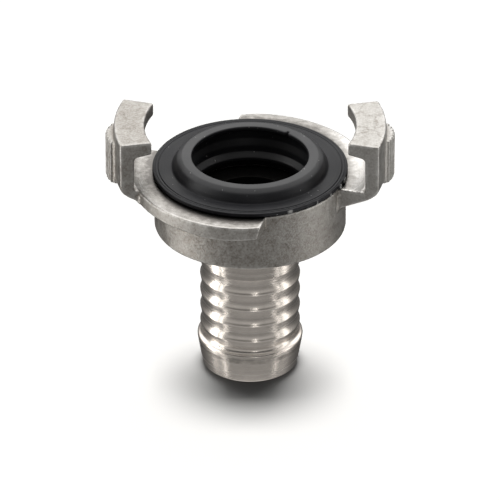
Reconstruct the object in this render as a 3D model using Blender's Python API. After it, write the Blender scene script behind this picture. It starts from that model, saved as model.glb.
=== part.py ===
"""Two-claw hose coupling: a cast claw head that swivels on a turned hose stem, with a moulded lip seal.

Metres, +Z up. The origin is the centre of the stem's bottom end face. +Z runs up the common axis to
the claws, which stand on the +X and -X sides. The head turns on the stem about +Z, and the seal
lies on the head's rim and lifts out along +Z.
"""

import math

import bmesh
import bpy

MM = 0.001  # the sizes below read in millimetres

# Claw head
CLAW_SPACING = 40.0 * MM  # between the corners of the two hooks' tips
TIP_HALF_WIDTH = 8.0 * MM
END_FACE_FLARE = 0.247  # how much wider a claw gets for each unit outwards
HOOK_INNER_R = math.hypot(CLAW_SPACING / 2, TIP_HALF_WIDTH)
LEG_INNER_R = 24.8 * MM
CLAW_OUTER_R = 27.3 * MM
CLAW_TOP_Z = 55.1 * MM
HOOK_TIP_THICKNESS = 2.7 * MM
HOOK_ROOT_THICKNESS = 3.3 * MM
HOOK_CORNER = 0.5 * MM
CLAW_EDGE = 0.3 * MM
CLAW_FOOT_R = 0.8 * MM  # the hollow where the leg rises from its base
HEEL_STEP = 2.0 * MM  # the slant under the claw's outer side, across and down
HEEL_CORNER = 0.8 * MM
HEEL_CORNER_DROP = 0.72 * MM  # that corner's lower edge, below the rim
HEEL_DEPTH = 4.6 * MM  # from the rim down to where the claw's underside meets the collar
CLAW_STEPS = 12

RIM_Z = 44.3 * MM
HEAD_UNDER_Z = 32.3 * MM
COLLAR_R = 19.25 * MM
COLLAR_EDGE_R = 0.8 * MM
HOLE_CHAMFER = 0.4 * MM
OVERLAP = 2.0 * MM  # how far claws and ramps reach into the collar that they are joined to
RING_SEGMENTS = 64

RAMP_R = 24.2 * MM
RAMP_THICKNESS = 2.65 * MM
RAMP_RISE = 0.35 * MM  # the underside's hump, which a mating hook passes before it reaches its stop
RAMP_HUMP_DEG = 18.0  # where the hump is, from the ramp's open end
RAMP_HUMP_WIDTH_DEG = 14.0
RAMP_ROOT_SHARE = 0.8  # how far the ramp runs in over half the claw's own width
RAMP_END_OFFSET = 2.9 * MM  # the open end lies this far past the middle between the claws
RAMP_LEAD_IN = 1.4 * MM
RAMP_STEP_DEG = 5.0

PAD_OUTER_R = 29.15 * MM
PAD_BULGE_R = 7.25 * MM
PAD_HALF_WIDTH = 4.6 * MM
PAD_BOTTOM_Z = 43.4 * MM
PAD_TOP_Z = 53.5 * MM
PAD_EDGE = 0.6 * MM
PAD_RIBS = 7
PAD_STEPS_PER_RIB = 4
PAD_DEPTH = 3.05 * MM  # from its outer side to its root inside the leg
PAD_GROOVE_DEPTH = 0.35 * MM

# Swivel and seal seat
GAP = 0.3 * MM
NECK_HOLE_R = 11.0 * MM
STEM_FLANGE_SEAT_R = 13.2 * MM
STEM_FLANGE_FLOOR_Z = 35.3 * MM
SEAL_SEAT_R = 14.5 * MM
SEAL_SEAT_FLOOR_Z = 38.2 * MM

# Hose stem, for a 19 mm hose
STEM_SEGMENTS = 48
STEM_EDGE = 0.3 * MM
BORE_R = 8.2 * MM
STEM_FLANGE_R = STEM_FLANGE_SEAT_R - GAP
STEM_FLANGE_TOP_Z = SEAL_SEAT_FLOOR_Z
JOURNAL_R = 10.65 * MM
NECK_R = 10.15 * MM
NECK_BOTTOM_Z = 24.1 * MM
CREST_R = 10.1 * MM
ROOT_R = 9.74 * MM
CREST_TOP_Z = 20.65 * MM
CREST_PITCH = 3.66 * MM
CREST_COUNT = 4
FLARE_HEIGHT = 1.5 * MM  # over this height the wall runs out to a crest, slowly and then steeply
FLARE_STEPS = 4
END_BARB_R = 10.65 * MM
END_BARB_Z = 6.45 * MM
SHOULDER_R = 10.35 * MM
SHOULDER_Z = 4.39 * MM
TAPER_R = 9.89 * MM
TAPER_Z = 2.13 * MM
TAIL_END_R = 9.45 * MM

# Lip seal
SEAL_FLANGE_R = 19.75 * MM
SEAL_UNDER_Z = RIM_Z + GAP
SEAL_EDGE_Z = 45.34 * MM
SEAL_DISH_R = 17.2 * MM  # the flange is a little hollow here
SEAL_DISH_DEPTH = 0.2 * MM
SEAL_BEVEL_R = 18.6 * MM
BEAD_TOP_Z = 47.8 * MM
BEAD_FOOT_R = 15.5 * MM
BEAD_LAND_R = 13.9 * MM
OPENING_R = 11.8 * MM
OPENING_EDGE = 0.3 * MM
OPENING_DEPTH = 0.9 * MM
SEAL_GROOVE_R = 13.1 * MM
SEAL_THROAT_R = 12.55 * MM
SEAL_BODY_R = SEAL_SEAT_R - GAP
SEAL_BOTTOM_Z = STEM_FLANGE_TOP_Z + GAP
SEAL_BOTTOM_EDGE = 0.4 * MM
LIP_R = 11.5 * MM
LIP_Z = 40.7 * MM
LIP_THICKNESS = 0.5 * MM

BLEND_ANGLE = math.radians(32)


def clear_scene():
    for old in list(bpy.data.objects):
        bpy.data.objects.remove(old, do_unlink=True)


def make_material(name, color, metallic, roughness):
    material = bpy.data.materials.new(name)
    material.use_nodes = True
    shader = material.node_tree.nodes["Principled BSDF"]
    shader.inputs["Base Color"].default_value = (*color, 1.0)
    shader.inputs["Metallic"].default_value = metallic
    shader.inputs["Roughness"].default_value = roughness
    material.diffuse_color = (*color, 1.0)
    return material


def add_object(name, bm, material=None):
    bmesh.ops.recalc_face_normals(bm, faces=bm.faces)
    mesh = bpy.data.meshes.new(name)
    bm.to_mesh(mesh)
    bm.free()
    mesh.shade_smooth()
    mesh.set_sharp_from_angle(angle=BLEND_ANGLE)
    obj = bpy.data.objects.new(name, mesh)
    bpy.context.scene.collection.objects.link(obj)
    if material:
        mesh.materials.append(material)
    return obj


def revolved(profile, segments):
    """A ring: the closed (radius, height) profile turned once round the Z axis."""
    bm = bmesh.new()
    rings = []
    for step in range(segments):
        angle = 2 * math.pi * step / segments
        ring = [bm.verts.new((r * math.cos(angle), r * math.sin(angle), z)) for r, z in profile]
        rings.append(ring)
    for step, ring in enumerate(rings):
        following = rings[(step + 1) % segments]
        for point in range(len(profile)):
            after = (point + 1) % len(profile)
            bm.faces.new((ring[point], ring[after], following[after], following[point]))
    return bm


def swept(sections):
    """A closed bar through sections, which are loops with the same number of points."""
    bm = bmesh.new()
    loops = [[bm.verts.new(point) for point in section] for section in sections]
    for loop, following in zip(loops, loops[1:]):
        for point in range(len(loop)):
            after = (point + 1) % len(loop)
            bm.faces.new((loop[point], loop[after], following[after], following[point]))
    bm.faces.new(loops[0])
    bm.faces.new(list(reversed(loops[-1])))
    return bm


def at_angle(r, angle, z):
    return (r * math.cos(angle), r * math.sin(angle), z)


def arc_points(centre_r, centre_z, radius, start_deg, end_deg, steps):
    """Points of a round edge in a (radius, height) profile."""
    points = []
    for step in range(steps + 1):
        angle = math.radians(start_deg + (end_deg - start_deg) * step / steps)
        points.append((centre_r + radius * math.cos(angle), centre_z + radius * math.sin(angle)))
    return points


def opposite(obj, name):
    """The same shape half a turn round the axis."""
    twin = obj.copy()
    twin.name = name
    twin.rotation_euler.z += math.pi
    bpy.context.scene.collection.objects.link(twin)
    return twin


def collar_profile():
    bottom_edge = arc_points(
        COLLAR_R - COLLAR_EDGE_R, HEAD_UNDER_Z + COLLAR_EDGE_R, COLLAR_EDGE_R, 0, -90, 4
    )
    return [
        (COLLAR_R, RIM_Z),
        *bottom_edge,
        (NECK_HOLE_R + HOLE_CHAMFER, HEAD_UNDER_Z),
        (NECK_HOLE_R, HEAD_UNDER_Z + HOLE_CHAMFER),
        (NECK_HOLE_R, STEM_FLANGE_FLOOR_Z),
        (STEM_FLANGE_SEAT_R, STEM_FLANGE_FLOOR_Z),
        (STEM_FLANGE_SEAT_R, SEAL_SEAT_FLOOR_Z),
        (SEAL_SEAT_R, SEAL_SEAT_FLOOR_Z),
        (SEAL_SEAT_R, RIM_Z - HOLE_CHAMFER),
        (SEAL_SEAT_R + HOLE_CHAMFER, RIM_Z),
    ]


def claw_profile():
    """The claw cut through its middle: base, leg, and the hook over the mating half's gap."""
    base_r = COLLAR_R - OVERLAP
    hook_root_z = CLAW_TOP_Z - HOOK_ROOT_THICKNESS
    return [
        (base_r, RIM_Z),
        *arc_points(LEG_INNER_R - CLAW_FOOT_R, RIM_Z + CLAW_FOOT_R, CLAW_FOOT_R, -90, 0, 3),
        (LEG_INNER_R, hook_root_z - HOOK_CORNER),
        (LEG_INNER_R - HOOK_CORNER, hook_root_z),
        (HOOK_INNER_R, CLAW_TOP_Z - HOOK_TIP_THICKNESS),
        (HOOK_INNER_R, CLAW_TOP_Z - CLAW_EDGE),
        (HOOK_INNER_R + CLAW_EDGE, CLAW_TOP_Z),
        (CLAW_OUTER_R - CLAW_EDGE, CLAW_TOP_Z),
        (CLAW_OUTER_R, CLAW_TOP_Z - CLAW_EDGE),
        (CLAW_OUTER_R, RIM_Z + HEEL_CORNER),
        (CLAW_OUTER_R - HEEL_CORNER, RIM_Z - HEEL_CORNER_DROP),
        (CLAW_OUTER_R - HEEL_STEP, RIM_Z - HEEL_STEP),
        (base_r, RIM_Z - HEEL_DEPTH),
    ]


def end_face_angle(r):
    """Where the circle of radius r meets the claw's flat end face, y = offset + flare * x."""
    offset = TIP_HALF_WIDTH - END_FACE_FLARE * CLAW_SPACING / 2
    flare = END_FACE_FLARE
    x = (-flare * offset + math.sqrt(r * r * (1 + flare * flare) - offset * offset)) / (
        1 + flare * flare
    )
    return math.asin((offset + flare * x) / r)


def build_claw():
    sections = []
    for step in range(CLAW_STEPS + 1):
        share = 2 * step / CLAW_STEPS - 1
        sections.append([at_angle(r, share * end_face_angle(r), z) for r, z in claw_profile()])
    return add_object("claw_x_pos", swept(sections))


def build_ramp():
    """The ramp flange from its open end at the front to the root of the -X claw."""
    inner_r = COLLAR_R - OVERLAP
    start = -math.pi / 2
    stop = -math.pi + RAMP_ROOT_SHARE * end_face_angle(RAMP_R)

    def section(angle_of, thickness):
        return [
            at_angle(r, angle_of(r), z)
            for r, z in (
                (inner_r, RIM_Z),
                (RAMP_R, RIM_Z),
                (RAMP_R, RIM_Z - thickness),
                (inner_r, RIM_Z - thickness),
            )
        ]

    def end_plane(offset):
        return lambda r: start + math.asin(offset / r)

    sections = [
        section(end_plane(RAMP_END_OFFSET), RAMP_THICKNESS - RAMP_LEAD_IN),
        section(end_plane(RAMP_END_OFFSET - RAMP_LEAD_IN), RAMP_THICKNESS),
    ]
    steps = int(math.degrees(start - stop) / RAMP_STEP_DEG)
    for step in range(steps + 1):
        angle = start + (stop - start) * step / steps
        turned = math.degrees(start - angle)
        hump = math.exp(-(((turned - RAMP_HUMP_DEG) / RAMP_HUMP_WIDTH_DEG) ** 2))
        sections.append(section(lambda r, angle=angle: angle, RAMP_THICKNESS + RAMP_RISE * hump))
    return add_object("ramp_front", swept(sections))


def build_pad():
    """A bulging grip pad with vertical grooves, on the outside of the claw's leg."""
    centre_x = PAD_OUTER_R - PAD_BULGE_R
    reach = math.asin(PAD_HALF_WIDTH / PAD_BULGE_R)
    steps = PAD_RIBS * PAD_STEPS_PER_RIB
    root_x = PAD_OUTER_R - PAD_DEPTH

    def outline(inset):
        points = [(root_x, -PAD_HALF_WIDTH + inset), (root_x, PAD_HALF_WIDTH - inset)]
        for step in range(steps, -1, -1):
            angle = reach * (2 * step / steps - 1)
            rib_turn = 2 * math.pi * step / PAD_STEPS_PER_RIB
            groove = PAD_GROOVE_DEPTH * (0.5 + 0.5 * math.cos(rib_turn))
            r = PAD_BULGE_R - groove - inset
            points.append((centre_x + r * math.cos(angle), r * math.sin(angle)))
        return points

    levels = (
        (PAD_BOTTOM_Z, PAD_EDGE),
        (PAD_BOTTOM_Z + PAD_EDGE, 0.0),
        (PAD_TOP_Z - PAD_EDGE, 0.0),
        (PAD_TOP_Z, PAD_EDGE),
    )
    sections = [[(x, y, z) for x, y in outline(inset)] for z, inset in levels]
    return add_object("pad_x_pos", swept(sections))


def build_head(material):
    head = add_object("claw_head", revolved(collar_profile(), RING_SEGMENTS), material)
    claw = build_claw()
    ramp = build_ramp()
    pad = build_pad()
    added = [
        ramp,
        opposite(ramp, "ramp_rear"),
        claw,
        opposite(claw, "claw_x_neg"),
        pad,
        opposite(pad, "pad_x_neg"),
    ]
    for piece in added:
        piece.hide_render = True
        piece.display_type = "WIRE"
        join = head.modifiers.new("join " + piece.name, "BOOLEAN")
        join.operation = "UNION"
        join.solver = "EXACT"
        join.object = piece
    return head


def flare_points(crest_r, crest_z):
    """A hollow curve that runs out from the root wall to a crest's edge, from the top down."""
    points = []
    for step in range(FLARE_STEPS + 1):
        t = step / FLARE_STEPS
        points.append((ROOT_R + (crest_r - ROOT_R) * t**3, crest_z + FLARE_HEIGHT * (1 - t)))
    return points


def stem_profile():
    """From the flange down the outside to the tail's end, and back up the bore."""
    crests = []
    for index in range(CREST_COUNT):
        crests += flare_points(CREST_R, CREST_TOP_Z - index * CREST_PITCH)
    return [
        (STEM_FLANGE_R - STEM_EDGE, STEM_FLANGE_TOP_Z),
        (STEM_FLANGE_R, STEM_FLANGE_TOP_Z - STEM_EDGE),
        (STEM_FLANGE_R, STEM_FLANGE_FLOOR_Z + GAP),
        (JOURNAL_R, STEM_FLANGE_FLOOR_Z + GAP),
        (JOURNAL_R, HEAD_UNDER_Z + GAP),
        (NECK_R, HEAD_UNDER_Z),
        (NECK_R, NECK_BOTTOM_Z),
        *crests,
        *flare_points(END_BARB_R, END_BARB_Z),
        (SHOULDER_R, SHOULDER_Z),
        (TAPER_R, TAPER_Z),
        (TAIL_END_R, STEM_EDGE),
        (TAIL_END_R - STEM_EDGE, 0.0),
        (BORE_R + STEM_EDGE, 0.0),
        (BORE_R, STEM_EDGE),
        (BORE_R, STEM_FLANGE_TOP_Z),
    ]


def build_stem(material):
    return add_object("hose_stem", revolved(stem_profile(), STEM_SEGMENTS), material)


def seal_profile():
    """From the opening's top edge outwards over the bead and flange, down, and back up the inside."""
    shoulder = BEAD_FOOT_R - BEAD_LAND_R
    return [
        (OPENING_R + OPENING_EDGE, BEAD_TOP_Z),
        (BEAD_LAND_R, BEAD_TOP_Z),
        *arc_points(BEAD_LAND_R, BEAD_TOP_Z - shoulder, shoulder, 60, 0, 3),
        (BEAD_FOOT_R + SEAL_DISH_DEPTH, SEAL_EDGE_Z - SEAL_DISH_DEPTH),
        (SEAL_DISH_R, SEAL_EDGE_Z - SEAL_DISH_DEPTH),
        (SEAL_BEVEL_R, SEAL_EDGE_Z),
        (SEAL_FLANGE_R, SEAL_EDGE_Z),
        (SEAL_FLANGE_R, SEAL_UNDER_Z),
        (SEAL_BODY_R, SEAL_UNDER_Z),
        (SEAL_BODY_R, SEAL_BOTTOM_Z + SEAL_BOTTOM_EDGE),
        (SEAL_BODY_R - SEAL_BOTTOM_EDGE, SEAL_BOTTOM_Z),
        (SEAL_THROAT_R, SEAL_BOTTOM_Z),
        (SEAL_THROAT_R, LIP_Z - 2 * LIP_THICKNESS),
        (LIP_R, LIP_Z - LIP_THICKNESS),
        (LIP_R, LIP_Z),
        (SEAL_THROAT_R, LIP_Z + SEAL_THROAT_R - LIP_R),
        (SEAL_GROOVE_R, SEAL_UNDER_Z),
        (SEAL_GROOVE_R, BEAD_TOP_Z - 2 * OPENING_DEPTH),
        (OPENING_R + OPENING_EDGE, BEAD_TOP_Z - OPENING_DEPTH),
        (OPENING_R, BEAD_TOP_Z - OPENING_DEPTH + OPENING_EDGE),
        (OPENING_R, BEAD_TOP_Z - OPENING_EDGE),
    ]


def build_seal(material):
    return add_object("lip_seal", revolved(seal_profile(), RING_SEGMENTS), material)


def main():
    clear_scene()
    cast_steel = make_material("cast_steel", (0.42, 0.40, 0.37), 1.0, 0.48)
    turned_steel = make_material("turned_steel", (0.55, 0.53, 0.50), 1.0, 0.28)
    black_rubber = make_material("black_rubber", (0.022, 0.022, 0.026), 0.0, 0.50)
    build_stem(turned_steel)
    build_head(cast_steel)
    build_seal(black_rubber)


main()
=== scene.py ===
"""The looks of the two-claw hose coupling: a blasted casting, a turned stem and a moulded rubber seal."""

import math

import bmesh
import bpy
import numpy as np
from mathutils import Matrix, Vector


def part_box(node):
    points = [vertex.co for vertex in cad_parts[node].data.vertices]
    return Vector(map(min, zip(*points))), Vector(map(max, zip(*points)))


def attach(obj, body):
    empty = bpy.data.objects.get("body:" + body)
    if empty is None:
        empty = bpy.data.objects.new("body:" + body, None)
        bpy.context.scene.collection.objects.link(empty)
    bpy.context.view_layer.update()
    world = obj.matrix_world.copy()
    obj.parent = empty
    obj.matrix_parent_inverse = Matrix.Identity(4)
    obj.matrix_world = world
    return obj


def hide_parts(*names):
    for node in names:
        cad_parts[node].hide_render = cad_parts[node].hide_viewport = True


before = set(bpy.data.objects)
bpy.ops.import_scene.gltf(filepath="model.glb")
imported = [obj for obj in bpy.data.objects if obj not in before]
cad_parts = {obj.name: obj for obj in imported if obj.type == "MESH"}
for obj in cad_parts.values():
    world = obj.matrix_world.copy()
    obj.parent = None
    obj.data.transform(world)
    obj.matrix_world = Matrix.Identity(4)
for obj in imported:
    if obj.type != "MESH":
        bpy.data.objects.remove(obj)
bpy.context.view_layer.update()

MM = 0.001

# Sizes read from the frame
_, stem_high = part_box("hose_stem")
head_low, head_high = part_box("claw_head")
seal_low, seal_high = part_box("lip_seal")

CLAW_TOP_Z = head_high.z
HEAD_UNDER_Z = head_low.z
RAMP_R = head_high.y
PAD_OUTER_R = head_high.x
SEAL_R = seal_high.x
BEAD_TOP_Z = seal_high.z
SEAL_BOTTOM_Z = seal_low.z
STEM_FLANGE_R = stem_high.x
STEM_FLANGE_TOP_Z = stem_high.z

# Sizes of features inside those boxes
RIM_Z = HEAD_UNDER_Z + 12.0 * MM
COLLAR_R = SEAL_R - 0.35 * MM
JOINED_R = COLLAR_R - 2.0 * MM  # claws and ramps start here, inside the collar's wall
NECK_HOLE_R = 11.0 * MM
FLANGE_SEAT_R = 13.2 * MM
FLANGE_SEAT_Z = HEAD_UNDER_Z + 3 * MM
SEAL_SEAT_R = 14.5 * MM
BORE_R = 8.2 * MM

HOOK_INNER_R = 21.25 * MM
HOOK_TIP_THICKNESS = 2.7 * MM
HOOK_SLOPE = 0.17  # how far the hook's underside drops for each unit outwards
LEG_INNER_R = 24.8 * MM
CLAW_OUTER_R = 27.4 * MM
OUTER_ARC_SHIFT = 4.6 * MM  # the claw's outer side is a flatter arc than the ring it stands on
FRONT_END_Y, FRONT_END_FLARE = 2.65 * MM, 0.30  # half a claw's width at the axis, and its growth outwards
REAR_END_Y, REAR_END_FLARE = 4.0 * MM, 0.215
HEEL_INSET = 1.1 * MM
HEEL_DROP = 1.3 * MM
HEEL_DEPTH = 5.5 * MM  # from the rim down to where the claw's underside meets the collar

PAD_BULGE_R = 7.25 * MM
PAD_MIDDLE_Z = RIM_Z + 3.95 * MM
PAD_HALF_HEIGHT = 4.75 * MM
PAD_HALF_WIDTH = 4.3 * MM
PAD_GROOVE_DEPTH = 0.30 * MM
PAD_RIB_SPACING = 0.155  # radians round the bulge's axis

RAMP_THICKNESS = 2.65 * MM
RAMP_END_X = 3.05 * MM
RAMP_ROOT_Y = -7.6 * MM

# How widely the casting's edges are rounded over
FINE_EDGE = 0.3 * MM
EDGE = 0.5 * MM
SOFT_EDGE = 0.8 * MM

HEAD_GRID = 0.27 * MM


# ---------------------------------------------------------------- shapes


def smooth_max(a, b, width):
    """The larger of two distances, with the edge where they meet rounded over about that width."""
    near = np.maximum(width - np.abs(a - b), 0.0)
    return np.maximum(a, b) + near * near / (4 * width)


def smooth_min(a, b, width):
    """The smaller of two distances, with the hollow where they meet filled over about that width."""
    return -smooth_max(-a, -b, width)


def slanted(r, z, first, second):
    """Distance outside the line from first to second in the (radius, height) plane, solid on its left."""
    run, rise = second[0] - first[0], second[1] - first[1]
    length = math.hypot(run, rise)
    return ((r - first[0]) * rise - (z - first[1]) * run) / length


def end_distance(x, y, middle_y, flare):
    """Distance outside a claw's flat end face, which lies at y = middle_y + flare * x."""
    return (y - (middle_y + flare * x)) / math.hypot(1.0, flare)


def claw_distance(x, y, z, r):
    """The +X claw: base, leg and hook, cut off by two flat end faces."""
    under = CLAW_TOP_Z - HOOK_TIP_THICKNESS + (HOOK_INNER_R - r) * HOOK_SLOPE
    hook = smooth_max(under - z, HOOK_INNER_R - r, FINE_EDGE)
    above_floor = smooth_min(LEG_INNER_R - r, hook, SOFT_EDGE)
    inner = smooth_min(z - RIM_Z, above_floor, 1.0 * MM)
    outer_side = np.hypot(x + OUTER_ARC_SHIFT, y) - CLAW_OUTER_R - OUTER_ARC_SHIFT
    outer = smooth_max(outer_side, z - CLAW_TOP_Z, 0.45 * MM)
    heel = (CLAW_OUTER_R - HEEL_INSET, RIM_Z - HEEL_DROP)
    corner = slanted(r, z, heel, (CLAW_OUTER_R + 0.1 * MM, RIM_Z + 0.1 * MM))
    below = slanted(r, z, (JOINED_R, RIM_Z - HEEL_DEPTH), heel)
    outer = smooth_max(outer, corner, SOFT_EDGE)
    outer = smooth_max(outer, below, SOFT_EDGE)
    solid = smooth_max(inner, outer, EDGE)
    front_end = end_distance(x, -y, FRONT_END_Y, FRONT_END_FLARE)
    rear_end = end_distance(x, y, REAR_END_Y, REAR_END_FLARE)
    solid = smooth_max(solid, np.maximum(front_end, rear_end), EDGE)
    return np.maximum(solid, JOINED_R - r)


def pad_distance(x, y, z):
    """The grip pad on the outside of the +X claw: a bulge with upright grooves."""
    centre_x = PAD_OUTER_R - PAD_BULGE_R
    around = np.arctan2(y, x - centre_x)
    rib = np.abs(np.mod(around / PAD_RIB_SPACING, 1.0) - 0.5) * 2
    grooves = PAD_GROOVE_DEPTH * np.clip((rib - 0.3) / 0.4, 0.0, 1.0)
    side = np.hypot(x - centre_x, y) - PAD_BULGE_R + grooves
    ends = np.abs(z - PAD_MIDDLE_Z) - PAD_HALF_HEIGHT
    solid = smooth_max(side, ends, EDGE)
    solid = smooth_max(solid, np.abs(y) - PAD_HALF_WIDTH, 0.4 * MM)
    return np.maximum(solid, CLAW_OUTER_R - 1.2 * MM - x)


def ramp_distance(x, y, z, r):
    """The front ramp flange, from its open end near the middle to the root of the -X claw."""
    degrees = np.degrees(np.arctan2(-x, -y))  # from the front, towards -X
    hump_middle, hump_width, hump_height = 18.0, 14.0, 0.35 * MM
    hump = np.exp(-(((degrees - hump_middle) / hump_width) ** 2))
    thickness = RAMP_THICKNESS + hump_height * hump
    near_open_end = np.clip((x + 5.0 * MM) / (8.0 * MM), 0.0, 1.0)
    edge_r = RAMP_R - 0.2 * MM - 0.7 * MM * near_open_end * near_open_end
    solid = smooth_max(r - edge_r, RIM_Z - thickness - z, 0.25 * MM)
    outward = np.clip((r - COLLAR_R) / (RAMP_R - COLLAR_R), 0.0, 1.0)
    skew, undercut = 0.25, 0.3
    open_end = x - RAMP_END_X + skew * (r - COLLAR_R) + undercut * (RIM_Z - z) * outward
    solid = smooth_max(solid, open_end / math.hypot(1.0, skew), FINE_EDGE)
    solid = np.maximum(solid, y - RAMP_ROOT_Y)
    return np.maximum(solid, JOINED_R - r)


def both_sides(distance, x, y, *rest):
    """The same feature here and half a turn round the axis."""
    return np.minimum(distance(x, y, *rest), distance(-x, -y, *rest))


def casting_lumps(x, y, z):
    """Slow waviness of a casting's skin, as a share of its full height."""
    waves, per_metre, phases = 10, 420.0, 6.28
    total = 0.0
    rng = np.random.default_rng(7)
    for _ in range(waves):
        wave = rng.normal(size=3) * per_metre
        total = total + np.sin(x * wave[0] + y * wave[1] + z * wave[2] + rng.uniform(0, phases))
    return total / waves


def head_distance(points):
    """How far points are outside the claw head, in metres, and below zero inside it."""
    x, y, z = points[..., 0], points[..., 1], points[..., 2]
    r = np.hypot(x, y)
    collar = smooth_max(r - COLLAR_R, HEAD_UNDER_Z - z, EDGE)
    ramps = both_sides(ramp_distance, x, y, z, r)
    lower = smooth_min(collar, ramps, 0.35 * MM)
    lower = smooth_max(lower, z - RIM_Z, 0.35 * MM)
    # The fillet round a claw's foot, which fades out just under the faced rim
    fillet = np.clip((RIM_Z - 0.5 * MM - z) / (0.6 * MM), 0.02, 1.0) * 0.9 * MM
    claws = both_sides(claw_distance, x, y, z, r)
    near = np.maximum(fillet - np.abs(lower - claws), 0.0)
    solid = np.minimum(lower, claws) - near * near / (4 * fillet)
    pads = both_sides(pad_distance, x, y, z)
    solid = smooth_min(solid, pads, EDGE)
    lower_hole = np.where(z > FLANGE_SEAT_Z, FLANGE_SEAT_R, NECK_HOLE_R)
    hole = np.where(z > STEM_FLANGE_TOP_Z, SEAL_SEAT_R, lower_hole)
    solid = smooth_max(solid, hole - r, FINE_EDGE)
    lump_height = 0.02 * MM
    return solid + lump_height * casting_lumps(x, y, z)


def surface_nets(distance, low, high, step):
    """A mesh of the surface where the distance is zero: one vertex in each grid cell that it crosses."""
    counts = [int(math.ceil((b - a) / step)) + 1 for a, b in zip(low, high)]
    axes = [a + step * np.arange(n) for a, n in zip(low, counts)]
    field = np.empty(counts, np.float32)
    for i, x in enumerate(axes[0]):
        grid = np.stack(np.meshgrid([x], axes[1], axes[2], indexing="ij"), axis=-1)
        field[i] = distance(grid)[0]
    inside = field < 0
    cell_shape = tuple(n - 1 for n in counts)
    corners = [(i, j, k) for i in (0, 1) for j in (0, 1) for k in (0, 1)]

    def at(array, corner):
        return array[tuple(slice(c, c + n) for c, n in zip(corner, cell_shape))]

    filled = sum(at(inside, corner).astype(np.int8) for corner in corners)
    crossed = (filled > 0) & (filled < 8)
    number = np.full(cell_shape, -1, np.int64)
    number[crossed] = np.arange(crossed.sum())

    total = np.zeros((int(crossed.sum()), 3))
    hits = np.zeros(len(total))
    for first in corners:
        for axis in range(3):
            if first[axis]:
                continue
            second = tuple(c + (a == axis) for a, c in enumerate(first))
            d0, d1 = at(field, first)[crossed], at(field, second)[crossed]
            cut = (d0 < 0) != (d1 < 0)
            share = np.where(cut, d0 / np.where(cut, d0 - d1, 1.0), 0.0)
            place = np.tile(np.array(first, float), (len(share), 1))
            place[:, axis] += share
            total[cut] += place[cut]
            hits[cut] += 1
    cells = np.argwhere(crossed)
    points = np.array(low) + step * (cells + total / hits[:, None])

    quads = []
    for axis in range(3):
        u, v = (axis + 1) % 3, (axis + 2) % 3
        lower = [slice(1, -1)] * 3
        lower[axis] = slice(0, -1)
        upper = list(lower)
        upper[axis] = slice(1, None)
        here, there = inside[tuple(lower)], inside[tuple(upper)]
        edges = np.argwhere(here != there)
        solid_first = here[here != there]
        edges += [0 if a == axis else 1 for a in range(3)]
        ring = []
        for du, dv in ((1, 1), (0, 1), (0, 0), (1, 0)):
            cell = edges.copy()
            cell[:, u] -= du
            cell[:, v] -= dv
            ring.append(number[tuple(cell.T)])
        quad = np.stack(ring, axis=1)
        quad[~solid_first] = quad[~solid_first][:, ::-1]
        quads.append(quad)
    return points, np.concatenate(quads)


def gradient(distance, points):
    """How steeply the distance grows along each axis, at each point."""
    reach = 0.02 * MM
    slopes = []
    for axis in range(3):
        offset = np.zeros(3)
        offset[axis] = reach
        slopes.append((distance(points + offset) - distance(points - offset)) / (2 * reach))
    return np.stack(slopes, axis=-1)


def edge_share(distance, points):
    """Above 0 on the edges of a solid, below 0 in its hollows, near 0 on flat faces; within -1..1."""
    reach = 0.32 * MM
    sharpest = 1.2 * reach
    total = -6.0 * distance(points)
    for axis in range(3):
        offset = np.zeros(3)
        offset[axis] = reach
        total = total + distance(points + offset) + distance(points - offset)
    return np.clip(total / sharpest, -1.0, 1.0)


def build_head():
    """The claw head, with how sharp or hollow it is at each point in its "edge" attribute."""
    margin = 2 * HEAD_GRID
    low = [value - margin for value in head_low]
    high = [value + margin for value in head_high]
    points, quads = surface_nets(head_distance, low, high, HEAD_GRID)
    # Moves each point onto the surface itself
    for _ in range(2):
        slope = gradient(head_distance, points)
        move = head_distance(points)[:, None] * slope / (slope**2).sum(-1)[:, None]
        length = np.linalg.norm(move, axis=1)[:, None]
        points = points - move * np.minimum(1.0, 0.5 * HEAD_GRID / np.maximum(length, 1e-9))
    normals = gradient(head_distance, points)
    normals /= np.linalg.norm(normals, axis=1)[:, None]
    mesh = bpy.data.meshes.new("claw_head_casting")
    mesh.from_pydata(points.tolist(), [], quads.tolist())
    mesh.update()
    mesh.shade_smooth()
    mesh.normals_split_custom_set_from_vertices(normals.tolist())
    edges = mesh.attributes.new("edge", "FLOAT", "POINT")
    edges.data.foreach_set("value", edge_share(head_distance, points).astype(np.float32))
    obj = bpy.data.objects.new("claw_head_casting", mesh)
    bpy.context.scene.collection.objects.link(obj)
    return obj


def rounded(points):
    """A closed (radius, height, rounding) outline with a smooth curve in place of each corner."""
    least_turn, most_of_side, degrees_per_step = 0.02, 0.48, 12
    outline = []
    count = len(points)
    for index in range(count):
        corner = Vector(points[index][:2])
        before = Vector(points[index - 1][:2]) - corner
        after = Vector(points[(index + 1) % count][:2]) - corner
        radius = points[index][2]
        turn = math.pi - before.angle(after)
        if radius <= 0 or turn < least_turn:
            outline.append(corner)
            continue
        reach = radius * math.tan(turn / 2)
        reach = min(reach, most_of_side * before.length, most_of_side * after.length)
        start = corner + before.normalized() * reach
        end = corner + after.normalized() * reach
        steps = max(2, int(math.degrees(turn) / degrees_per_step))
        for step in range(steps + 1):
            t = step / steps
            outline.append(start * (1 - t) ** 2 + corner * 2 * t * (1 - t) + end * t * t)
    return [(p.x, p.y) for p in outline]


def refined(outline, longest):
    """The same outline with points along its long straight runs."""
    fine = []
    for (r0, z0), (r1, z1) in zip(outline, outline[1:] + outline[:1]):
        parts = max(1, int(math.hypot(r1 - r0, z1 - z0) / longest))
        for part in range(parts):
            fine.append((r0 + (r1 - r0) * part / parts, z0 + (z1 - z0) * part / parts))
    return fine


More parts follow.
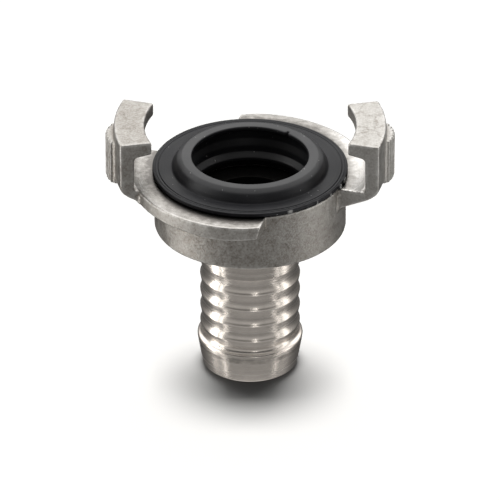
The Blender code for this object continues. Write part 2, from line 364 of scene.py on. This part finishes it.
def turned(name, outline, segments, shift=None):
    """A ring with that (radius, height) outline. shift(r, z, angle) may return a moved (r, z)."""
    bm = bmesh.new()
    rings = []
    for step in range(segments):
        angle = 2 * math.pi * step / segments
        ring = []
        for r, z in outline:
            if shift:
                r, z = shift(r, z, angle)
            ring.append(bm.verts.new((r * math.cos(angle), r * math.sin(angle), z)))
        rings.append(ring)
    count = len(outline)
    for step, ring in enumerate(rings):
        following = rings[(step + 1) % segments]
        for point in range(count):
            after = (point + 1) % count
            bm.faces.new((ring[point], ring[after], following[after], following[point]))
    bmesh.ops.recalc_face_normals(bm, faces=bm.faces)
    mesh = bpy.data.meshes.new(name)
    bm.to_mesh(mesh)
    bm.free()
    mesh.shade_smooth()
    obj = bpy.data.objects.new(name, mesh)
    bpy.context.scene.collection.objects.link(obj)
    return obj


def flare(from_r, from_z, to_r, to_z, steps):
    """Points of a hollow curve that leaves a wall and runs out to a barb's edge, going down."""
    points = []
    for step in range(1, steps + 1):
        t = step / steps
        points.append((from_r + (to_r - from_r) * t**3, from_z + (to_z - from_z) * t, 0.0))
    return points


def stem_outline():
    """The stem's section, from its flange's top edge down its outside and back up its bore."""
    neck_r, crest_r, root_r = 10.25 * MM, 10.2 * MM, 9.82 * MM
    journal_r, tail_end_r = 10.65 * MM, 9.65 * MM
    barb_r, barb_z = 10.78 * MM, 6.45 * MM
    flange_under_z = HEAD_UNDER_Z + 3.3 * MM
    crest_count, crest_top, pitch, flare_height = 4, 20.65 * MM, 3.66 * MM, 1.7 * MM
    barb_flare_z = barb_z + 1.5 * MM
    fine = 0.1 * MM
    points = [
        (STEM_FLANGE_R, STEM_FLANGE_TOP_Z, 0.25 * MM),
        (STEM_FLANGE_R, flange_under_z, 0.25 * MM),
        (journal_r, flange_under_z, 0.2 * MM),
        (journal_r, HEAD_UNDER_Z + 0.3 * MM, fine),
        (neck_r, HEAD_UNDER_Z, fine),
        (neck_r, 24.3 * MM, fine),
        (neck_r - 0.10 * MM, 24.22 * MM, fine),
    ]
    for index in range(crest_count):
        crest_z = crest_top - index * pitch
        points.append((root_r, crest_z + flare_height, 0.0))
        points += flare(root_r, crest_z + flare_height, crest_r, crest_z + 0.08 * MM, 6)
        points.append((crest_r, crest_z - 0.06 * MM, 0.05 * MM))
    points.append((root_r, barb_flare_z, 0.3 * MM))
    points += flare(root_r, barb_flare_z, barb_r - 0.04 * MM, barb_z + 0.25 * MM, 7)
    points += [
        (barb_r, barb_z, 0.15 * MM),
        (barb_r - 0.10 * MM, 5.6 * MM, 0.8 * MM),
        (barb_r - 0.68 * MM, 2.2 * MM, 2.0 * MM),
        (tail_end_r, 0.0, 0.5 * MM),
        (BORE_R, 0.0, 0.35 * MM),
        (BORE_R, STEM_FLANGE_TOP_Z, 0.2 * MM),
    ]
    return refined(rounded(points), 0.8 * MM)


def build_stem():
    return turned("hose_stem_turned", stem_outline(), 224)


def seal_outline():
    """The seal's section, from the inside of its top land outwards, down, and back up its inside."""
    edge_z = RIM_Z + 1.05 * MM
    under_z = RIM_Z + 0.3 * MM
    outer_r, body_r = SEAL_R - 0.03 * MM, 14.2 * MM
    land_r, throat_r, ledge_r, skirt_r = 11.8 * MM, 13.1 * MM, 11.5 * MM, 12.5 * MM
    points = [
        (land_r, BEAD_TOP_Z, 0.35 * MM),
        (13.75 * MM, BEAD_TOP_Z, 0.6 * MM),
        (14.9 * MM, BEAD_TOP_Z - 0.65 * MM, 1.0 * MM),
        (15.5 * MM, BEAD_TOP_Z - 1.7 * MM, 0.8 * MM),
        (15.75 * MM, edge_z - 0.04 * MM, 0.7 * MM),
        (17.0 * MM, edge_z - 0.02 * MM, 1.2 * MM),
        (18.5 * MM, edge_z + 0.02 * MM, 0.10 * MM),
        (18.58 * MM, edge_z - 0.10 * MM, 0.03 * MM),
        (18.72 * MM, edge_z, 0.05 * MM),
        (19.1 * MM, edge_z + 0.03 * MM, 0.05 * MM),
        (19.16 * MM, edge_z - 0.05 * MM, 0.03 * MM),
        (19.25 * MM, edge_z + 0.02 * MM, 0.05 * MM),
        (outer_r, edge_z - 0.03 * MM, 0.12 * MM),
        (outer_r, under_z, 0.1 * MM),
        (body_r, under_z, 0.2 * MM),
        (body_r, SEAL_BOTTOM_Z, 0.4 * MM),
        (skirt_r, SEAL_BOTTOM_Z, 0.2 * MM),
        (skirt_r, RIM_Z - 4.6 * MM, 0.4 * MM),
        (ledge_r, RIM_Z - 4.2 * MM, 0.25 * MM),
        (ledge_r, RIM_Z - 3.55 * MM, 0.35 * MM),
        (12.55 * MM, RIM_Z - 2.55 * MM, 0.25 * MM),
        (12.6 * MM, RIM_Z - 1.3 * MM, 0.8 * MM),
        (throat_r, RIM_Z + 0.2 * MM, 0.8 * MM),
        (throat_r, BEAD_TOP_Z - 1.6 * MM, 0.5 * MM),
        (land_r, BEAD_TOP_Z - 0.8 * MM, 0.3 * MM),
    ]
    return refined(rounded(points), 0.5 * MM)


def build_seal():
    """The seal, with a nick in its opening and a torn moulding flash along part of its outer edge."""
    nick_degrees, nick_width, nick_depth = 51, 1.5, 0.4 * MM
    torn_degrees, torn_width = -38, 24
    land_inner_r, outer_edge_r = 12.1 * MM, SEAL_R - 0.25 * MM
    rng = np.random.default_rng(11)
    segments = 360
    tears = rng.uniform(-1.0, 1.0, segments)
    tears = 0.6 * tears + 0.4 * np.roll(tears, 1)

    def shift(r, z, angle):
        degrees = (math.degrees(angle) + 180) % 360 - 180
        if r < land_inner_r and z > RIM_Z + 2.5 * MM:
            return r + nick_depth * math.exp(-(((degrees - nick_degrees) / nick_width) ** 2)), z
        if r < outer_edge_r or z < RIM_Z:
            return r, z
        strength = math.exp(-(((degrees - torn_degrees) / torn_width) ** 4))
        tear = tears[int(round(angle / (2 * math.pi) * segments)) % segments]
        torn_mm = strength * (0.7 * max(0.0, tear - 0.15) + 0.15 * tear - 0.15)
        return r + (0.02 + torn_mm) * MM, z

    return turned("lip_seal_moulded", seal_outline(), segments, shift)


# ---------------------------------------------------------------- materials


class Nodes:
    """Short names for building a material's nodes."""

    def __init__(self, name):
        self.material = bpy.data.materials.new(name)
        self.material.use_nodes = True
        self.tree = self.material.node_tree
        self.shader = self.tree.nodes["Principled BSDF"]

    def add(self, kind, inputs=None, **settings):
        """A new node with its settings, and with its inputs, which are values or other nodes' sockets."""
        node = self.tree.nodes.new(kind)
        for key, value in settings.items():
            setattr(node, key, value)
        for key, value in (inputs or {}).items():
            self.put(node, key, value)
        return node

    def put(self, node, key, value):
        if isinstance(value, bpy.types.NodeSocket):
            self.tree.links.new(value, node.inputs[key])
        else:
            node.inputs[key].default_value = value

    def math(self, operation, a, b=0.0, clamp=False):
        node = self.add("ShaderNodeMath", {0: a, 1: b}, operation=operation, use_clamp=clamp)
        return node.outputs[0]

    def product(self, first, *others):
        for other in others:
            first = self.math("MULTIPLY", first, other)
        return first

    def total(self, first, *others):
        for other in others:
            first = self.math("ADD", first, other)
        return first

    def mix(self, share, first, second):
        """The first colour where share is 0, and the second where it is 1."""
        node = self.add("ShaderNodeMix", {0: share, 6: first, 7: second}, data_type="RGBA")
        return node.outputs[2]

    def noise(self, vector, scale, detail, roughness):
        node = self.add(
            "ShaderNodeTexNoise",
            {"Vector": vector, "Scale": scale, "Detail": detail, "Roughness": roughness},
        )
        return node.outputs["Fac"]

    def ramp(self, value, stops):
        """A colour that the value picks from a row of (position, colour) stops."""
        node = self.add("ShaderNodeValToRGB", {"Fac": value})
        elements = node.color_ramp.elements
        while len(elements) < len(stops):
            elements.new(0.5)
        for element, (position, color) in zip(elements, stops):
            element.position = position
            element.color = (*color, 1.0)
        return node.outputs["Color"]

    def spread(self, value, low, high, to_low, to_high):
        """Runs from to_low to to_high as the value goes from low to high, and stays there beyond."""
        node = self.add(
            "ShaderNodeMapRange",
            {"Value": value, "From Min": low, "From Max": high, "To Min": to_low, "To Max": to_high},
        )
        return node.outputs["Result"]

    def bump(self, height, distance, strength=1.0, normal=None):
        inputs = {"Height": height, "Distance": distance, "Strength": strength}
        if normal is not None:
            inputs["Normal"] = normal
        return self.add("ShaderNodeBump", inputs).outputs["Normal"]

    def shade(self, **sockets):
        """Fills the shader's sockets, whose names have an underscore for each space."""
        for key, value in sockets.items():
            self.put(self.shader, key.replace("_", " "), value)


def polar(nodes, place):
    """The place's distance from the axis, its height, and both as a vector with no angle in it."""
    parts = nodes.add("ShaderNodeSeparateXYZ", {0: place})
    x_squared = nodes.math("POWER", parts.outputs[0], 2.0)
    y_squared = nodes.math("POWER", parts.outputs[1], 2.0)
    radius = nodes.math("SQRT", nodes.total(x_squared, y_squared))
    height = parts.outputs[2]
    flat = nodes.add("ShaderNodeCombineXYZ", {0: radius, 1: 0.0, 2: height})
    return radius, height, flat.outputs[0]


def thin_veins(nodes, place, blotch):
    """1 on thin wandering lines, where the blotches allow them, and 0 between."""
    swirl = nodes.add("ShaderNodeTexNoise", {"Vector": place, "Scale": 450.0, "Detail": 3.0})
    wander = 3.0 * MM
    bend = nodes.add(
        "ShaderNodeVectorMath",
        {0: swirl.outputs["Color"], 1: (wander, wander, wander), 2: place},
        operation="MULTIPLY_ADD",
    )
    cells = nodes.add(
        "ShaderNodeTexVoronoi", {"Vector": bend.outputs[0], "Scale": 190.0}, feature="DISTANCE_TO_EDGE"
    )
    lines = nodes.spread(cells.outputs["Distance"], 0.0, 0.07, 1.0, 0.0)
    return nodes.product(lines, nodes.spread(blotch, 0.36, 0.5, 0.0, 1.0))


def cast_steel():
    """Blasted investment casting: grey, fine grain, brown dark hollows, thin veins, and lighter edges,
    partly rubbed wear and partly a painted sheen.

    It is a little lighter towards +X, which is painted light, and lighter outside the collar's wall.
    """
    nodes = Nodes("cast_steel")
    place = nodes.add("ShaderNodeTexCoord").outputs["Object"]
    across = nodes.add("ShaderNodeSeparateXYZ", {0: place}).outputs[0]
    radius, height, _ = polar(nodes, place)
    edge = nodes.add("ShaderNodeAttribute", attribute_name="edge").outputs["Fac"]
    grain = nodes.noise(place, 2300.0, 4.0, 0.7)
    mottle = nodes.noise(place, 620.0, 4.0, 0.65)
    blotch = nodes.noise(place, 110.0, 3.0, 0.55)
    # Edges get lighter, partly rubbed wear and partly a painted sheen, and hollows get darker
    wear_sheen_and_hollows = nodes.spread(mottle, 0.35, 0.65, 0.02, 0.26)
    tone = nodes.total(
        nodes.product(grain, 0.50),
        nodes.product(mottle, 0.32),
        nodes.product(blotch, 0.18),
        # Painted light: a little lighter towards +X
        nodes.spread(across, -26 * MM, 26 * MM, -0.045, 0.055),
        nodes.spread(radius, COLLAR_R + 0.2 * MM, COLLAR_R + 1.2 * MM, -0.015, 0.045),
        nodes.product(nodes.spread(edge, -0.6, 0.6, -0.6, 0.6), wear_sheen_and_hollows),
    )
    vein = thin_veins(nodes, place, blotch)
    on_top = nodes.spread(height, CLAW_TOP_Z - 1.0 * MM, CLAW_TOP_Z - 0.3 * MM, 0.0, 1.0)
    on_right = nodes.spread(across, 10 * MM, 16 * MM, 0.25, 1.0)
    depth = nodes.product(vein, nodes.product(on_top, on_right), 0.13)
    color = nodes.ramp(
        nodes.math("SUBTRACT", tone, depth),
        [
            (0.30, (0.135, 0.117, 0.100)),
            (0.42, (0.265, 0.244, 0.220)),
            (0.52, (0.375, 0.357, 0.332)),
            (0.62, (0.47, 0.455, 0.432)),
            (0.78, (0.60, 0.588, 0.565)),
        ],
    )
    rough = nodes.spread(mottle, 0.3, 0.7, 0.34, 0.50)
    fine = nodes.bump(grain, 0.085 * MM, 1.0)
    pits = nodes.bump(mottle, 0.10 * MM, 0.8, fine)
    nodes.shade(Base_Color=color, Roughness=rough, Normal=pits)
    nodes.shader.inputs["Metallic"].default_value = 1.0
    return nodes.material


def machined_steel():
    """The faced rim: fine rings round the axis, a painted shade and dark reflection beside the seal, painted
    light at the claws' feet, stronger towards +X, and a painted highlight on its edges.
    """
    nodes = Nodes("machined_steel")
    place = nodes.add("ShaderNodeTexCoord").outputs["Object"]
    radius, _, flat = polar(nodes, place)
    rings = nodes.noise(flat, 5200.0, 3.0, 0.7)
    mottle = nodes.noise(place, 700.0, 4.0, 0.65)
    edge = nodes.add("ShaderNodeAttribute", attribute_name="edge").outputs["Fac"]
    across = nodes.add("ShaderNodeSeparateXYZ", {0: place}).outputs[0]
    starts, full = 14 * MM, 21 * MM
    tone = nodes.total(
        mottle,
        # Painted shade and dark reflection of the seal: darker close beside the seal
        nodes.spread(radius, SEAL_R + 0.05 * MM, SEAL_R + 3.05 * MM, -0.60, -0.08),
        # Painted light: lighter at the claws' feet, more at +X than at -X
        nodes.spread(across, starts, full, 0.0, 0.56),
        nodes.spread(across, -starts, -full, 0.0, 0.20),
        # Painted highlight: lighter on the faced rim's edges
        nodes.spread(edge, 0.0, 0.5, 0.0, 0.3),
    )
    color = nodes.ramp(
        tone,
        [
            (0.2, (0.15, 0.14, 0.13)),
            (0.4, (0.27, 0.257, 0.24)),
            (0.6, (0.37, 0.355, 0.335)),
            (0.9, (0.62, 0.605, 0.585)),
        ],
    )
    rough = nodes.spread(rings, 0.3, 0.7, 0.24, 0.38)
    normal = nodes.bump(rings, 0.02 * MM, 0.8)
    normal = nodes.bump(mottle, 0.03 * MM, 0.8, normal)
    nodes.shade(Base_Color=color, Roughness=rough, Normal=normal)
    nodes.shader.inputs["Metallic"].default_value = 1.0
    return nodes.material


def turned_steel():
    """Lathe-turned stainless: rings round the axis stretch each highlight along it.

    Painted shade darkens the bore and what is inside the head nearly to black, and a scuffed band runs under
    the end barb.
    """
    nodes = Nodes("turned_steel")
    place = nodes.add("ShaderNodeTexCoord").outputs["Object"]
    radius, height, flat = polar(nodes, place)
    fine = nodes.noise(flat, 4200.0, 4.0, 0.75)
    coarse = nodes.noise(flat, 900.0, 3.0, 0.6)
    mottle = nodes.noise(place, 500.0, 4.0, 0.6)
    tone = nodes.total(nodes.product(coarse, 0.45), nodes.product(mottle, 0.55))
    clean = nodes.ramp(
        tone, [(0.3, (0.66, 0.61, 0.555)), (0.55, (0.76, 0.70, 0.64)), (0.75, (0.82, 0.765, 0.705))]
    )
    # Painted shade: the bore and what is inside the head are mixed nearly to black, and made rougher
    in_bore = nodes.spread(radius, BORE_R + 0.1 * MM, BORE_R + 0.4 * MM, 1.0, 0.0)
    in_head = nodes.spread(height, HEAD_UNDER_Z, HEAD_UNDER_Z + 2.0 * MM, 0.0, 1.0)
    painted_shade_inside = nodes.math("MAXIMUM", nodes.product(in_bore, 0.9), nodes.product(in_head, 0.99))
    with_painted_shade = nodes.mix(painted_shade_inside, clean, (0.006, 0.006, 0.006, 1.0))
    above_low = nodes.spread(height, 4.6 * MM, 4.9 * MM, 0.0, 1.0)
    below_high = nodes.spread(height, 6.0 * MM, 6.25 * MM, 1.0, 0.0)
    band = nodes.product(above_low, below_high, nodes.spread(mottle, 0.35, 0.6, 0.0, 0.75))
    color = nodes.mix(band, with_painted_shade, (0.36, 0.33, 0.30, 1.0))
    rough = nodes.total(nodes.spread(coarse, 0.3, 0.7, 0.19, 0.31), nodes.product(painted_shade_inside, 0.3))
    normal = nodes.bump(fine, 0.02 * MM, 0.8)
    tangent = nodes.add("ShaderNodeTangent", direction_type="RADIAL", axis="Z").outputs[0]
    nodes.shade(Base_Color=color, Roughness=rough, Normal=normal, Tangent=tangent)
    nodes.shader.inputs["Metallic"].default_value = 1.0
    nodes.shader.inputs["Anisotropic"].default_value = 0.45
    nodes.shader.inputs["Anisotropic Rotation"].default_value = 0.25
    return nodes.material


def black_rubber():
    """Moulded nitrile rubber: charcoal with a satin skin, mould rings, dust and pale torn flash."""
    nodes = Nodes("black_rubber")
    place = nodes.add("ShaderNodeTexCoord").outputs["Object"]
    radius, _, flat = polar(nodes, place)
    rings = nodes.noise(flat, 2300.0, 3.0, 0.7)
    cloud = nodes.noise(place, 160.0, 3.0, 0.5)
    grain = nodes.noise(place, 3000.0, 3.0, 0.6)
    specks = nodes.noise(place, 1500.0, 1.0, 0.5)
    dust = nodes.spread(specks, 0.75, 0.79, 0.0, 0.7)
    torn = nodes.product(nodes.spread(radius, SEAL_R, SEAL_R + 0.05 * MM, 0.0, 1.3), grain)
    pale = nodes.math("MAXIMUM", dust, torn, True)
    base = nodes.ramp(cloud, [(0.3, (0.0145, 0.0147, 0.0170)), (0.7, (0.021, 0.0213, 0.0247))])
    color = nodes.mix(pale, base, (0.42, 0.42, 0.41, 1.0))
    rough = nodes.spread(cloud, 0.3, 0.7, 0.38, 0.48)
    on_flange = nodes.spread(radius, 16.6 * MM, 17.6 * MM, 0.18, 1.0)
    normal = nodes.bump(nodes.product(rings, on_flange), 0.05 * MM, 0.8)
    normal = nodes.bump(grain, 0.012 * MM, 0.6, normal)
    gloss = nodes.spread(radius, 14.6 * MM, 15.8 * MM, 0.42, 0.15)
    nodes.shade(Base_Color=color, Roughness=rough, Normal=normal, Specular_IOR_Level=gloss)
    return nodes.material


# ---------------------------------------------------------------- stage


def build_floor():
    """A grey floor that its lamp lights to white.

    Polished metal sees the studio's lower half instead of it, as over a lit table.
    """
    mesh = bpy.data.meshes.new("floor")
    half = 3.0
    corners = [(-half, -half, 0), (half, -half, 0), (half, half, 0), (-half, half, 0)]
    mesh.from_pydata(corners, [], [(0, 1, 2, 3)])
    floor = bpy.data.objects.new("floor", mesh)
    bpy.context.scene.collection.objects.link(floor)
    floor.visible_glossy = False
    floor.visible_shadow = False
    nodes = Nodes("floor_paper")
    nodes.shader.inputs["Base Color"].default_value = (0.12, 0.12, 0.12, 1.0)
    nodes.shader.inputs["Roughness"].default_value = 1.0
    nodes.shader.inputs["Specular IOR Level"].default_value = 0.0
    mesh.materials.append(nodes.material)
    return floor


def build_world():
    """A studio dome, where "upward" is the sine of the height above the horizon.

    It is bright high up behind and overhead. A softer band lies at the horizon, with a glow low down and
    another straight below. The band and the low glow are shaded towards the back.
    """
    world = bpy.data.worlds.new("studio")
    bpy.context.scene.world = world
    world.use_nodes = True
    tree = world.node_tree
    background = tree.nodes["Background"]
    coordinates = tree.nodes.new("ShaderNodeTexCoord")
    parts = tree.nodes.new("ShaderNodeSeparateXYZ")
    tree.links.new(coordinates.outputs["Generated"], parts.inputs[0])
    _, toward_back, upward = parts.outputs

    def spread(value, low, high, to_high):
        node = tree.nodes.new("ShaderNodeMapRange")
        node.interpolation_type = "SMOOTHSTEP"
        tree.links.new(value, node.inputs["Value"])
        for key, number in (("From Min", low), ("From Max", high), ("To Min", 0.0), ("To Max", to_high)):
            node.inputs[key].default_value = number
        return node.outputs["Result"]

    def combine(operation, first, second):
        node = tree.nodes.new("ShaderNodeMath")
        node.operation = operation
        for socket, value in zip(node.inputs, (first, second)):
            if isinstance(value, float):
                socket.default_value = value
            else:
                tree.links.new(value, socket)
        return node.outputs[0]

    high_up = spread(upward, 0.1, 0.42, 1.0)
    shaded = combine("ADD", spread(toward_back, 0.0, 0.7, -0.8), 1.0)
    overhead = spread(upward, 0.72, 1.0, 0.9)
    behind = combine("MULTIPLY", spread(toward_back, -0.1, 0.6, 2.1), high_up)
    band_rise = combine("MULTIPLY", spread(upward, -0.8, -0.1, 0.42), shaded)
    band_fall = combine("MULTIPLY", spread(upward, 0.0, 0.42, -0.42), shaded)
    straight_below = spread(upward, -0.85, -1.0, 0.5)
    low_glow = combine("MULTIPLY", spread(upward, -0.55, -0.78, 0.27), shaded)
    total = 0.06  # an even glow from all round
    for term in (overhead, behind, band_rise, band_fall, straight_below, low_glow):
        total = combine("ADD", term, total)
    tree.links.new(total, background.inputs["Strength"])
    background.inputs["Color"].default_value = (1.0, 0.995, 0.985, 1.0)


def add_lamp(name, place, aim, size, power):
    """An oblong area lamp with slightly warm light."""
    light = bpy.data.lights.new(name, "AREA")
    light.shape = "RECTANGLE"
    light.size, light.size_y = size
    light.energy = power
    light.color = (1.0, 0.99, 0.97)
    lamp = bpy.data.objects.new(name, light)
    bpy.context.scene.collection.objects.link(lamp)
    lamp.location = place
    lamp.rotation_euler = (Vector(aim) - Vector(place)).to_track_quat("-Z", "Y").to_euler()
    return lamp


def around(azimuth, distance, height):
    """The point at that azimuth from the front, in degrees towards +X, that far from the axis."""
    turn = math.radians(azimuth)
    return (distance * math.sin(turn), -distance * math.cos(turn), height)


def light_floor(floor, stem):
    """A lamp over the floor, which lights nothing else, and which only the stem shades."""
    lit = bpy.data.collections.new("lit_by_floor_light")
    lit.objects.link(floor)
    shading = bpy.data.collections.new("shades_the_floor")
    shading.objects.link(stem)
    lamp = add_lamp("floor_light", around(180, 0.73, 2.9), (0.0, 0.0, 0.0), (1.3, 1.05), 760.0)
    lamp.visible_glossy = False
    lamp.light_linking.receiver_collection = lit
    lamp.light_linking.blocker_collection = shading


def build_softboxes():
    """Tall lamps beside the object and a strip in front, which only show as reflections."""
    target = (0.0, 0.0, 0.03)
    for name, azimuth, distance, height, size, power in (
        ("strip_left", -66.5, 0.8, -0.05, (0.075, 1.6), 1.05),
        ("strip_right", 66, 0.8, -0.05, (0.055, 1.6), 0.6),
        ("softbox_left", -87, 0.8, 0.10, (0.27, 1.5), 4.4),
        ("softbox_right", 86, 0.8, 0.10, (0.24, 1.5), 1.7),
        ("strip_front", 11, 1.1, 0.20, (0.03, 0.34), 0.35),
    ):
        lamp = add_lamp(name, around(azimuth, distance, height), target, size, power)
        lamp.visible_diffuse = False


def build_camera():
    """A camera in front of the object and above it, aimed at the middle of its height."""
    distance = 1.2
    elevation = math.radians(30.12)
    target = Vector((0.0, 0.0, 25.65 * MM))
    pixels_per_metre_at_target = 4913.0
    picture_width = 500.0
    away = Vector((0.0, -math.cos(elevation), math.sin(elevation)))
    camera = bpy.data.cameras.new("camera")
    camera.sensor_width = 36.0
    camera.lens = camera.sensor_width * pixels_per_metre_at_target * distance / picture_width
    camera.shift_x = -0.0002
    camera.clip_start = 0.05
    camera.clip_end = 20.0
    obj = bpy.data.objects.new("camera", camera)
    bpy.context.scene.collection.objects.link(obj)
    obj.location = target + away * distance
    obj.rotation_euler = (-away).to_track_quat("-Z", "Y").to_euler()
    bpy.context.scene.camera = obj


# ---------------------------------------------------------------- assembly


def mark_machined_faces(head, slot):
    """Gives the faced rim its own material: flat faces at the rim's height."""
    near, level = 0.08 * MM, 0.97
    mesh = head.data
    count = len(mesh.polygons)
    centres = np.empty(count * 3, np.float32)
    normals = np.empty(count * 3, np.float32)
    mesh.polygons.foreach_get("center", centres)
    mesh.polygons.foreach_get("normal", normals)
    heights = centres.reshape(-1, 3)[:, 2]
    upward = normals.reshape(-1, 3)[:, 2]
    faced = (np.abs(heights - RIM_Z) < near) & (upward > level)
    mesh.polygons.foreach_set("material_index", np.where(faced, slot, 0).astype(np.int32))


def main():
    bpy.context.scene.view_settings.view_transform = "Standard"
    head = build_head()
    head.data.materials.append(cast_steel())
    head.data.materials.append(machined_steel())
    mark_machined_faces(head, 1)
    stem = build_stem()
    stem.data.materials.append(turned_steel())
    seal = build_seal()
    seal.data.materials.append(black_rubber())
    for piece, node, body, slot in (
        (head, "claw_head", "head", "cast_steel"),
        (stem, "hose_stem", "stem", "turned_steel"),
        (seal, "lip_seal", "seal", "black_rubber"),
    ):
        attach(piece, body)
        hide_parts(node)
    build_world()
    light_floor(build_floor(), stem)
    build_softboxes()
    build_camera()


main()
